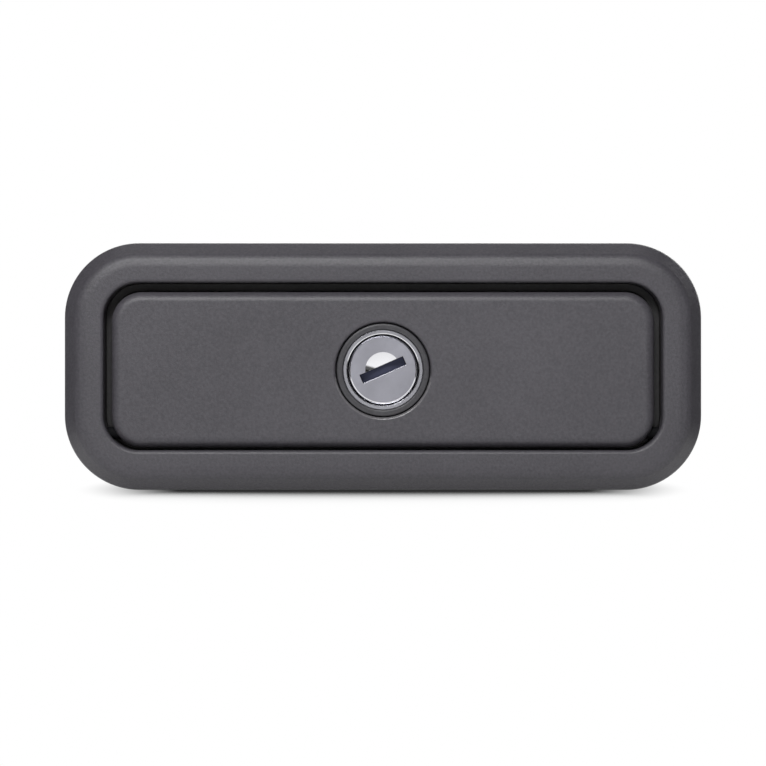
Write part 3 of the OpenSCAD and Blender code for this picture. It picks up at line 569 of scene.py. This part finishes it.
def moulded_finish(name, base, rough, grain_scale, depth, edge_radius, edge_tone):
    """Moulded plastic or rubber: grain, slow drift of tone, and paler rubbed edges."""
    material, tree, shader = new_material(name)
    grain = place_group(tree, "moulded_grain", {"Grain Scale": grain_scale})
    edge = place_group(tree, "rubbed_edge", {"Radius": edge_radius, "Reach": 3.0})
    dark, pale = (shade(base, factor) for factor in MOULDED_TONE)
    body = mix_colours(tree, spread(tree, grain["Tone"]), dark, pale)
    worn = mix_colours(tree, edge["Mask"], body, shade(base, edge_tone))
    plain = spread(tree, grain["Gloss"], rough - MOULDED_ROUGH, rough + MOULDED_ROUGH)
    roughs = {0: edge["Mask"], 2: plain, 3: MOULDED_RUBBED * rough}
    rubbed = add_node(tree, "ShaderNodeMix", roughs).outputs[0]
    feed_shader(tree, shader, worn, rubbed, grain["Height"], edge["Normal"], depth, MOULDED_BUMP)
    return material


def metal_finish(name, base, rough, along, across, edge_radius, stain):
    """Metal with drawn lines, cloudy plating and brighter edges."""
    material, tree, shader = new_material(name)
    shader.inputs["Metallic"].default_value = 1.0
    lines = place_group(tree, "drawn_lines", {"Along": along, "Across": across})
    edge = place_group(tree, "rubbed_edge", {"Radius": edge_radius, "Reach": 4.0})
    stained, untouched = shade(base, 1.0 - stain), shade(base, 1.0 + stain / 2)
    body = mix_colours(tree, spread(tree, lines["Stain"]), stained, untouched)
    worn = mix_colours(tree, edge["Mask"], body, shade(base, METAL_RUBBED))
    uneven = spread(tree, lines["Gloss"], rough - METAL_ROUGH, rough + METAL_ROUGH)
    feed_shader(tree, shader, worn, uneven, lines["Height"], edge["Normal"], LINE_DEPTH, METAL_BUMP)
    return material


def paint_plug_shade(material):
    """Paints shade on a metal behind the plug's face, on the rim's chamfer, in the slot and down the
    sides, fading out before the tail that carries the cam.
    """
    tree = material.node_tree
    target = tree.nodes["Principled BSDF"].inputs["Base Color"]
    untouched = target.links[0].from_socket
    depth = add_node(tree, "ShaderNodeSeparateXYZ", {0: object_place(tree)}).outputs["Y"]
    behind = ramp(tree, depth, COLLAR_LOW.y + PLUG_SHADE_START, COLLAR_LOW.y + PLUG_SHADE_FULL, smooth=True)
    before = ramp(tree, depth, CAM_FRONT - PLUG_SHADE_END, CAM_FRONT, 1.0, 0.0, smooth=True)
    painted_shade = reckon(tree, "MULTIPLY", behind, before)
    tree.links.new(mix_colours(tree, painted_shade, untouched, PLUG_SHADE_COLOUR), target)


def make_finish(slot, name):
    """Makes the finish of one material slot."""
    colours = bpy.context.scene.lock_finishes
    rubber = (colours.rubber, 0.82, 1900.0, 0.00012, 0.0003, 1.5)
    plated = (colours.zinc, 0.33, 260.0, 2400.0, 0.0003, 0.14)
    drawn = (colours.steel, 0.27, 1800.0, 400.0, 0.0002, 0.12)
    # Colour, roughness, scale and depth of the grain, radius and tone of the edges
    moulded = {
        "charcoal_moulding": (colours.charcoal, 0.42, 5200.0, 0.0001, 0.0002, 1.12),
        "dark_collar": (colours.collar, 0.36, 5200.0, 0.00002, 0.00015, 1.3),
        "black_moulding": (colours.black, 0.46, 3600.0, 0.00004, 0.0003, 1.8),
        # Black steel: its own finish is dark, and it is taken darker still as painted shade, so the hinge
        # pin's end in the gap is as dark as the gap
        "black_steel": ((0.006, 0.006, 0.007), 0.8, 2400.0, 0.00003, 0.0002, 1.5),
        # Pale, glossy rim finish: its low roughness is real gloss, and its pale colour is a painted
        # highlight on the flap hole's upward-facing rim
        "glossy_rim_highlight": ((0.16, 0.155, 0.165), 0.18, 5200.0, 0.00001, 0.0001, 1.1),
        "gasket_foam": rubber,
        "buffer_rubber": rubber,
    }
    # Colour, roughness, scale of the lines along and across, radius of the edges, strength of the stain
    metal = {
        "bright_shell": (colours.bright, 0.28, 260.0, 260.0, 0.00001, 0.06),
        "satin_plug": (colours.satin, 0.34, 1800.0, 1800.0, 0.00001, 0.08),
        # A paler, glossier finish: a painted highlight on the lower rims of shell and plug, and the polish
        # of the dimple
        "rim_highlight_and_polish": ((0.92, 0.92, 0.95), 0.1, 1800.0, 1800.0, 0.00001, 0.03),
        # Dark bluish shutter finish: painted shade of the deep key slot
        "dust_shutter": ((0.075, 0.08, 0.125), 0.45, 1800.0, 400.0, 0.0001, 0.1),
        "brass_wafer": (colours.brass, 0.3, 400.0, 2600.0, 0.0001, 0.15),
        "hardened_claw": (shade(colours.zinc, 0.82), 0.4, 900.0, 1300.0, 0.0004, 0.2),
        "zinc_plated_screw": plated,
        "zinc_plated_sheet": plated,
        "bare_steel": drawn,
        "spring_wire": drawn,
    }
    if slot in moulded:
        material = moulded_finish(name, *moulded[slot])
    elif slot in metal:
        material = metal_finish(name, *metal[slot])
    else:
        raise RuntimeError(f"no finish is set for the slot {slot}")
    # The plug's metal gets painted shade behind its face
    if slot == "satin_plug":
        paint_plug_shade(material)
    if slot == "black_steel":
        shader = material.node_tree.nodes["Principled BSDF"]
        shader.inputs["Specular IOR Level"].default_value = BLACK_STEEL_SPECULAR
    return material


def finish_of(slot):
    """Returns a slot's finish, made when it is first asked for."""
    name = slot + "_finish"
    return bpy.data.materials.get(name) or make_finish(slot, name)


def shiny_rays(tree, rays):
    """Returns 1 for a ray that shows in a reflection or through glass."""
    return reckon(tree, "MAXIMUM", rays["Is Glossy Ray"], rays["Is Transmission Ray"])


class LOCK_OT_bezel(bpy.types.Operator):
    """Model the front frame with its two outer slopes, its pocket and its rebate"""

    bl_idname = "lock.bezel"
    bl_label = "Make Bezel"

    def execute(self, context):
        sizes = context.scene.lock_sizes
        half_w, half_h = BEZEL_HIGH.x, BEZEL_HIGH.z
        pocket_w, pocket_h = sizes.pocket_width / 2, sizes.pocket_height / 2
        front, back = BEZEL_LOW.y, BEZEL_HIGH.y
        roof = back - sizes.rebate_depth
        bm = bmesh.new()

        def outline(inset, y):
            """The bezel's outline, drawn in by an inset, at a depth."""
            span = (inset - half_w, half_w - inset, inset - half_h, half_h - inset)
            return rounded_loop(bm, span, y, sizes.bezel_corner - inset)

        front_edge = outline(sizes.slope_start, front)
        slope_edge = outline(sizes.side_start, front + sizes.slope_depth)
        side_edge = outline(0.0, front + sizes.side_depth)
        lip_edge = rounded_loop(bm, (-pocket_w, pocket_w, -pocket_h, pocket_h), front, sizes.pocket_corner)
        rebate_roof = outline(sizes.bezel_rim, roof)
        skin(bm, [lip_edge, front_edge, slope_edge, side_edge])
        back_edge = wall_from(bm, side_edge, back - front - sizes.side_depth)
        wall_end = wall_from(bm, lip_edge, roof - front)
        rebate_end = wall_from(bm, rebate_roof, back - roof)
        fill_flat(bm, rebate_roof, wall_end)
        fill_flat(bm, back_edge, rebate_end)
        bmesh.ops.recalc_face_normals(bm, faces=bm.faces)
        bevel_edges(bm, front_edge, *FACE_ROUNDING)
        bevel_edges(bm, slope_edge, *SLOPE_ROUNDING)
        bevel_edges(bm, side_edge, *SIDE_ROUNDING)
        bevel_edges(bm, lip_edge, sizes.lip, LIP_STEPS)
        bevel_edges(bm, back_edge, *BACK_ROUNDING)
        fit_piece(new_object(bm, "bezel_moulding"), "charcoal_moulding", "housing", "bezel_frame")
        return {"FINISHED"}


class LOCK_OT_flap(bpy.types.Operator):
    """Model the pull flap with its rounded edges, hinge barrel, hollow back, ribs and cylinder hole"""

    bl_idname = "lock.flap"
    bl_label = "Make Flap"

    def execute(self, context):
        sizes = context.scene.lock_sizes
        barrel, wall = sizes.flap_barrel, sizes.flap_wall
        front = FLAP_LOW.y
        face_back = front + sizes.flap_face
        skirt_back = front + sizes.flap_skirt
        hole = sizes.collar_radius + sizes.collar_gap
        bm = bmesh.new()
        shell = [self.outline(bm, sizes, depth) for depth in self.depths(sizes)]
        low, high = FLAP_LOW.z + 2 * barrel + HINGE_WALL, FLAP_HIGH.z - wall
        hollow = (FLAP_LOW.x + wall, FLAP_HIGH.x - wall, low, high)
        hollow_end = rounded_loop(bm, hollow, skirt_back, sizes.flap_corner - wall)
        hollow_roof = wall_from(bm, hollow_end, face_back - skirt_back)
        hole_front = round_loop(bm, hole, front)
        hole_back = wall_from(bm, hole_front, sizes.flap_face)
        skin(bm, shell)
        fill_flat(bm, shell[-1], hollow_end)
        fill_flat(bm, hollow_roof, hole_back)
        fill_flat(bm, shell[0], hole_front)
        bmesh.ops.recalc_face_normals(bm, faces=bm.faces)
        bevel_edges(bm, hole_front, *HOLE_ROUNDING)
        deep = skirt_back - sizes.rib_drop - face_back + RIB_SUNK
        tall = high - low + 2 * RIB_SUNK
        for side in (-1, 1):
            rib = bmesh.ops.create_cube(bm, size=1.0)["verts"]
            bmesh.ops.scale(bm, vec=(sizes.rib_width, deep, tall), verts=rib)
            middle = (side * sizes.rib_place, face_back - RIB_SUNK + deep / 2, (low + high) / 2)
            bmesh.ops.translate(bm, vec=middle, verts=rib)
            bevel_edges(bm, list({line for vert in rib for line in vert.link_edges}), *RIB_ROUNDING)
        flap = new_object(bm, "flap_moulding")
        fit_piece(flap, "charcoal_moulding", "flap", "flap")
        # The lower part of the hole's rim, which faces up, gets a glossier finish whose paler colour is a
        # painted highlight
        rim = hole + HOLE_ROUNDING[0]
        gloss_and_highlight_faces(flap, "glossy_rim_highlight", lambda face: on_rim(face, front, hole, rim, upwards=True))
        return {"FINISHED"}

    def depths(self, sizes):
        """Depths behind the face at which the outline is drawn, close together where it is rounded."""
        turns = [math.radians(angle) for angle in range(0, 91, 5)]
        depths = [sizes.flap_edge * (1 - math.cos(turn)) for turn in turns]
        depths += [sizes.flap_barrel * share for share in BARREL_SHARES]
        return [depth for depth in depths if depth < sizes.flap_skirt] + [sizes.flap_skirt]

    def outline(self, bm, sizes, depth):
        """The flap's outline at a depth behind its face."""
        edge, low_edge, barrel = sizes.flap_edge, sizes.flap_low_edge, sizes.flap_barrel
        top = drawn_in(edge, max(0.0, edge - depth))
        low = drawn_in(low_edge, max(0.0, low_edge - depth))
        if depth > barrel:
            low = drawn_in(barrel, depth - barrel)
        span = (FLAP_LOW.x + top, FLAP_HIGH.x - top, FLAP_LOW.z + low, FLAP_HIGH.z - top)
        return rounded_loop(bm, span, FLAP_LOW.y + depth, sizes.flap_corner - top)


class LOCK_OT_cylinder(bpy.types.Operator):
    """Model the collar, the bright shell and the plug of the key cylinder"""

    bl_idname = "lock.cylinder"
    bl_label = "Make Key Cylinder"

    def execute(self, context):
        sizes = context.scene.lock_sizes
        front = COLLAR_LOW.y
        self.make_collar(sizes, front)
        self.make_shell(sizes, front)
        self.make_plug(sizes, front)
        return {"FINISHED"}

    def make_collar(self, sizes, front):
        """Dark bush with a rounded nose and a flange behind the flap's face."""
        flange = COLLAR_HIGH.x
        step = front + sizes.flap_face
        seat = front + sizes.head_depth
        bore = sizes.head_radius + RUNNING_GAP
        small = sizes.shell_radius + RUNNING_GAP
        bm = bmesh.new()
        turn_profile(bm, [
            (bore, front), (sizes.collar_radius, front), (sizes.collar_radius, step), (flange, step),
            (flange, COLLAR_HIGH.y), (small, COLLAR_HIGH.y), (small, seat), (bore, seat),
        ])
        soften(bm, *COLLAR_ROUNDING)
        fit_piece(new_object(bm, "collar_bush"), "dark_collar", "flap", "lock_collar")

    def make_shell(self, sizes, front):
        """Bright shell whose nose is a flat ring with a chamfered mouth and a groove round the plug."""
        head_back = front + sizes.head_depth
        plug_seat = front + sizes.plug_depth + RUNNING_GAP
        bore = sizes.plug_radius + RUNNING_GAP
        mouth = sizes.plug_radius + sizes.groove_width
        mouth_rim = mouth + MOUTH_WIDTH
        groove_back = front + sizes.groove_depth
        small = sizes.plug_body + RUNNING_GAP
        bm = bmesh.new()
        turn_profile(bm, [
            (mouth, front + MOUTH_DEPTH), (mouth_rim, front), (sizes.head_radius, front),
            (sizes.head_radius, head_back), (sizes.shell_radius, head_back),
            (sizes.shell_radius, BARREL_BACK), (small, BARREL_BACK), (small, plug_seat),
            (bore, plug_seat), (bore, groove_back), (mouth, groove_back),
        ])
        soften(bm, *SHELL_ROUNDING, TURNED_CORNER)
        shell = new_object(bm, "cylinder_shell", TURNED_SHARP)
        fit_piece(shell, "bright_shell", "flap", "lock_barrel")
        # The lower part of the shell's mouth gets a paler finish: a painted highlight
        gloss_and_highlight_faces(shell, "rim_highlight_and_polish", lambda face: on_rim(face, front, mouth, mouth_rim))

    def make_plug(self, sizes, front):
        """Plug with a chamfered rim, a square tail, the key slot and the half-moon dimple."""
        head_back = front + sizes.plug_depth
        body_back = CAM_FRONT - TAIL_STEP
        face_radius = sizes.plug_radius - RIM_WIDTH
        bm = bmesh.new()
        turn_profile(bm, [
            (0.0, front), (face_radius, front), (sizes.plug_radius, front + RIM_DEPTH),
            (sizes.plug_radius, head_back), (sizes.plug_body, head_back), (sizes.plug_body, body_back),
            (0.0, body_back),
        ], closed=False)
        plug = new_object(bm, "plug_turned")
        place = Matrix.Translation((0, front, LOCK_Z)) @ Matrix.Rotation(-sizes.slot_angle, 4, "Y")
        ball_radius = (sizes.dimple_radius ** 2 + sizes.dimple_depth ** 2) / (2 * sizes.dimple_depth)
        ball_middle = Vector((0.0, sizes.dimple_depth - ball_radius, 0.0))
        slot = self.slot_cutter(sizes, place)
        dimple = self.dimple_cutter(ball_radius, ball_middle, place)
        cut_piece(plug, [slot, dimple])
        whole = bmesh.new()
        whole.from_mesh(plug.data)
        soften(whole, *SLOT_ROUNDING, TURNED_CORNER)
        tail = bmesh.ops.create_cube(whole, size=1.0)["verts"]
        bmesh.ops.scale(whole, vec=(TAIL_WIDTH, PLUG_BACK - body_back, TAIL_WIDTH), verts=tail)
        bmesh.ops.translate(whole, vec=(0, (PLUG_BACK + body_back) / 2, LOCK_Z), verts=tail)
        whole.to_mesh(plug.data)
        whole.free()
        plug.data.shade_smooth()
        plug.data.set_sharp_from_angle(angle=math.radians(TURNED_SHARP))
        fit_piece(plug, "satin_plug", "plug", "lock_plug")
        middle = place @ ball_middle

        def bright(face):
            """True on the dimple, which is polished, and on the lower part of the plug's rim, which gets a
            painted highlight.
            """
            inward = middle - face.center
            near = abs(inward.length - ball_radius) < BALL_NEAR
            on_ball = near and face.normal.dot(inward.normalized()) > BALL_FACING
            return on_ball or on_rim(face, front, face_radius, sizes.plug_radius)

        gloss_and_highlight_faces(plug, "rim_highlight_and_polish", bright)

    def slot_cutter(self, sizes, place):
        """Block that cuts the key slot."""
        slot = bmesh.new()
        box = bmesh.ops.create_cube(slot, size=1.0)["verts"]
        bmesh.ops.scale(slot, vec=(sizes.slot_length, 2 * sizes.slot_depth, sizes.slot_width), verts=box)
        bmesh.ops.transform(slot, matrix=place, verts=box)
        return new_object(slot, "slot_cutter")

    def dimple_cutter(self, radius, middle, place):
        """Half of a ball that cuts the dimple above the slot."""
        dimple = bmesh.new()
        bmesh.ops.create_uvsphere(dimple, u_segments=96, v_segments=64, radius=radius)
        bmesh.ops.translate(dimple, vec=middle, verts=dimple.verts)
        cut = bmesh.ops.bisect_plane(dimple, geom=dimple.verts[:] + dimple.edges[:] + dimple.faces[:],
                                     plane_co=(0, 0, 0), plane_no=(0, 0, 1), clear_inner=True)
        rim = [part for part in cut["geom_cut"] if isinstance(part, bmesh.types.BMEdge)]
        bmesh.ops.edgenet_fill(dimple, edges=rim)
        bmesh.ops.transform(dimple, matrix=place, verts=dimple.verts)
        return new_object(dimple, "dimple_cutter")


class LOCK_OT_finish_nodes(bpy.types.Operator):
    """Give every carried-over node the finish of its material slot"""

    bl_idname = "lock.finish_nodes"
    bl_label = "Finish Nodes"

    def execute(self, context):
        slots = {part["node"]: part["material_slot"] for part in frame["record"]["subparts"]}
        # The shutter behind the key slot gets a dark bluish finish, darker than the other bare steel:
        # painted shade of the deep slot
        slots["dust_shutter"] = "dust_shutter"
        for name, node in frame["nodes"].items():
            node.data.materials.clear()
            node.data.materials.append(finish_of(slots[name]))
        return {"FINISHED"}


class LOCK_OT_stage(bpy.types.Operator):
    """Set up the floor, the white surroundings, the lamps and the camera"""

    bl_idname = "lock.stage"
    bl_label = "Set Stage"

    def execute(self, context):
        stage = context.scene.lock_stage
        context.scene.view_settings.view_transform = "Standard"
        self.lay_floor()
        self.light_world(context.scene, stage)
        self.hang_lamp("key_lamp", *KEY_LAMP, stage.key_power)
        self.hang_lamp("back_lamp", *BACK_LAMP, stage.back_power)
        self.hang_lamp("top_lamp", *TOP_LAMP, stage.top_power)
        self.set_camera(context.scene, stage)
        return {"FINISHED"}

    def lay_floor(self):
        """White floor that glows for the camera and in reflections, with a painted shadow of the lock
        drawn from ambient occlusion.
        """
        bm = bmesh.new()
        bmesh.ops.create_grid(bm, x_segments=1, y_segments=1, size=FLOOR_HALF)
        bmesh.ops.translate(bm, vec=(0, 0, FLOOR_Z), verts=bm.verts)
        floor = new_object(bm, "floor")
        material, tree, shader = new_material("white_floor")
        tree.nodes.remove(shader)
        rays = add_node(tree, "ShaderNodeLightPath").outputs
        place = object_place(tree)
        reach = {"Distance": SHADOW_REACH}
        open_sky = add_node(tree, "ShaderNodeAmbientOcclusion", reach, samples=32).outputs["AO"]
        shadow = ramp(tree, open_sky, *SHADOW_RANGE, SHADOW_DARKEST, smooth=True)
        # The painted shadow fades out at an oval round the lock
        scale, shift = (1 / BEZEL_HIGH.x, OVAL_DEPTH_SCALE, 0.0), (0.0, OVAL_SHIFT, 0.0)
        oval = reckon_vector(tree, "MULTIPLY_ADD", place, scale, shift).outputs[0]
        away = reckon_vector(tree, "LENGTH", oval).outputs["Value"]
        shown = reckon(tree, "MAXIMUM", shadow, ramp(tree, away, *OVAL_FADE, smooth=True))
        # Reflections see a floor with painted shade, darker under the lock and beside it
        aside = reckon(tree, "ABSOLUTE", add_node(tree, "ShaderNodeSeparateXYZ", {0: place}).outputs["X"])
        beside = ramp(tree, aside, BEZEL_HIGH.x, 2 * BEZEL_HIGH.x, 1.0, BESIDE_LEVEL, smooth=True)
        mirrored = reckon(tree, "MULTIPLY", reckon(tree, "POWER", open_sky, MIRROR_POWER), beside)
        levels = {0: rays["Is Camera Ray"], 2: mirrored, 3: shown}
        level = add_node(tree, "ShaderNodeMix", levels).outputs[0]
        glow = add_node(tree, "ShaderNodeEmission", {"Strength": level}).outputs[0]
        paper = add_node(tree, "ShaderNodeBsdfDiffuse", {"Color": PAPER}).outputs[0]
        seen = reckon(tree, "MAXIMUM", rays["Is Camera Ray"], shiny_rays(tree, rays))
        either = add_node(tree, "ShaderNodeMixShader", {0: seen, 1: paper, 2: glow}).outputs[0]
        tree.links.new(either, tree.nodes["Material Output"].inputs["Surface"])
        floor.data.materials.append(material)

    def light_world(self, scene, stage):
        """White for the camera and for what mirrors the back, and a grey light mostly from the front."""
        world = bpy.data.worlds.new("white_room")
        scene.world = world
        world.use_nodes = True
        tree = world.node_tree
        back = tree.nodes["Background"]
        back.inputs["Color"].default_value = (1.0, 1.0, 1.0, 1.0)
        rays = add_node(tree, "ShaderNodeLightPath").outputs
        direction = add_node(tree, "ShaderNodeTexCoord").outputs["Generated"]
        facing = add_node(tree, "ShaderNodeSeparateXYZ", {0: direction}).outputs["Y"]
        behind = ramp(tree, facing, *BEHIND_RANGE)
        ahead = ramp(tree, facing, *AHEAD_RANGE, SIDE_SHARE * stage.ambient, stage.ambient)
        mirrored = reckon(tree, "MULTIPLY", shiny_rays(tree, rays), behind)
        seen = reckon(tree, "MAXIMUM", rays["Is Camera Ray"], mirrored)
        tree.links.new(ramp(tree, seen, 0.0, 1.0, ahead), back.inputs["Strength"])

    def hang_lamp(self, name, place, wide, high, power):
        """A rectangular soft lamp that faces the lock."""
        lamp = bpy.data.lights.new(name, "AREA")
        lamp.shape = "RECTANGLE"
        lamp.size = wide
        lamp.size_y = high
        lamp.energy = power
        hung = bpy.data.objects.new(name, lamp)
        hung.location = place
        hung.rotation_euler = (-Vector(place)).to_track_quat("-Z", "Y").to_euler()
        bpy.context.scene.collection.objects.link(hung)

    def set_camera(self, scene, stage):
        """Straight-on camera that frames the lock as in the photograph."""
        camera = bpy.data.cameras.new("front_camera")
        camera.lens = stage.focal
        camera.sensor_fit = "HORIZONTAL"
        camera.sensor_width = SENSOR_WIDTH
        away = stage.view_width * stage.focal / SENSOR_WIDTH
        edge_y = BEZEL_LOW.y + stage.edge_depth
        seen = bpy.data.objects.new("front_camera", camera)
        seen.location = (0.0, edge_y - away, -stage.view_drop)
        seen.rotation_euler = (math.pi / 2, 0.0, 0.0)
        scene.collection.objects.link(seen)
        scene.camera = seen


class LOCK_PT_panel(bpy.types.Panel):
    """Sizes, finishes and makers of the compression lock"""

    bl_idname = "LOCK_PT_panel"
    bl_label = "Compression Lock"
    bl_space_type = "VIEW_3D"
    bl_region_type = "UI"
    bl_category = "Lock"

    def draw(self, context):
        for operator in OPERATORS:
            self.layout.operator(operator.bl_idname)
        for group in (context.scene.lock_sizes, context.scene.lock_finishes, context.scene.lock_stage):
            box = self.layout.box()
            for name in group.__annotations__:
                box.prop(group, name)


GROUPS = (LockSizes, LockFinishes, LockStage)
OPERATORS = (LOCK_OT_finish_nodes, LOCK_OT_bezel, LOCK_OT_flap, LOCK_OT_cylinder, LOCK_OT_stage)


def register():
    """Registers the classes and the scene's settings."""
    for made in (*GROUPS, *OPERATORS, LOCK_PT_panel):
        bpy.utils.register_class(made)
    bpy.types.Scene.lock_sizes = PointerProperty(type=LockSizes)
    bpy.types.Scene.lock_finishes = PointerProperty(type=LockFinishes)
    bpy.types.Scene.lock_stage = PointerProperty(type=LockStage)


def unregister():
    """Removes the settings and the classes."""
    del bpy.types.Scene.lock_stage
    del bpy.types.Scene.lock_finishes
    del bpy.types.Scene.lock_sizes
    for made in reversed((*GROUPS, *OPERATORS, LOCK_PT_panel)):
        bpy.utils.unregister_class(made)


def main():
    """Makes every piece, then the stage."""
    register()
    bpy.ops.lock.finish_nodes()
    bpy.ops.lock.bezel()
    bpy.ops.lock.flap()
    bpy.ops.lock.cylinder()
    bpy.ops.lock.stage()


if __name__ == "__main__":
    main()
